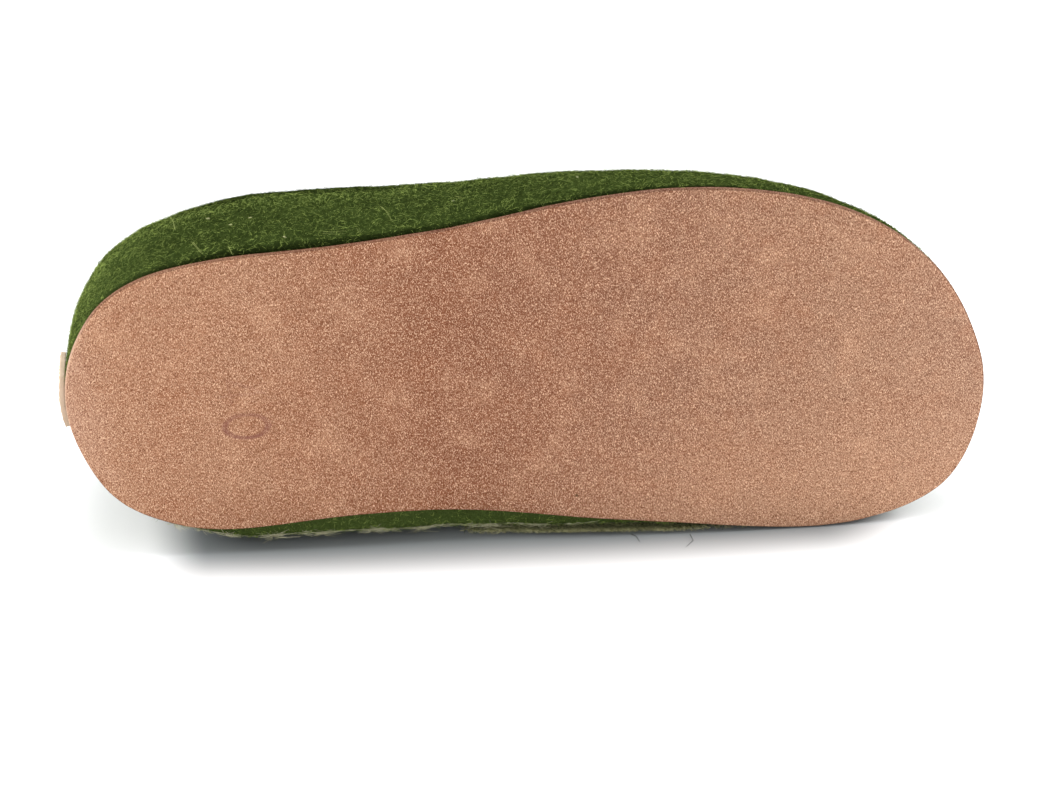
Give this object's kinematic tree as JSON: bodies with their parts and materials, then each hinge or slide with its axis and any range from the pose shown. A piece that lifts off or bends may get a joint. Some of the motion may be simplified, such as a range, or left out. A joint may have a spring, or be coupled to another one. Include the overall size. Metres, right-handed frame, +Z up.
{
  "type": "felt slipper",
  "caption": "Closed-heel house slipper for the right foot: moulded wool felt upper with a low collar on a flat suede leather sole, lying on its inner side.",
  "frame": {"origin": "on the floor under the middle of the bounding box of the shoe as it lies", "axes": "+X along the shoe from heel to toe, the sole faces -Y, +Z up from the inner side that rests on the floor to the outer side"},
  "size_m": [0.2718, 0.0788, 0.1071],
  "materials": {
    "suede": "tan suede, matt, with a short nap",
    "felt": "moss green wool felt, matt and hairy",
    "insole_felt": "green wool felt, pressed",
    "tab_leather": "light beige leather, matt"
  },
  "bodies": {
    "root": {"outsole": "suede", "upper": "felt", "insole": "insole_felt", "heel_tab": "tab_leather"}
  },
  "joints": []
}
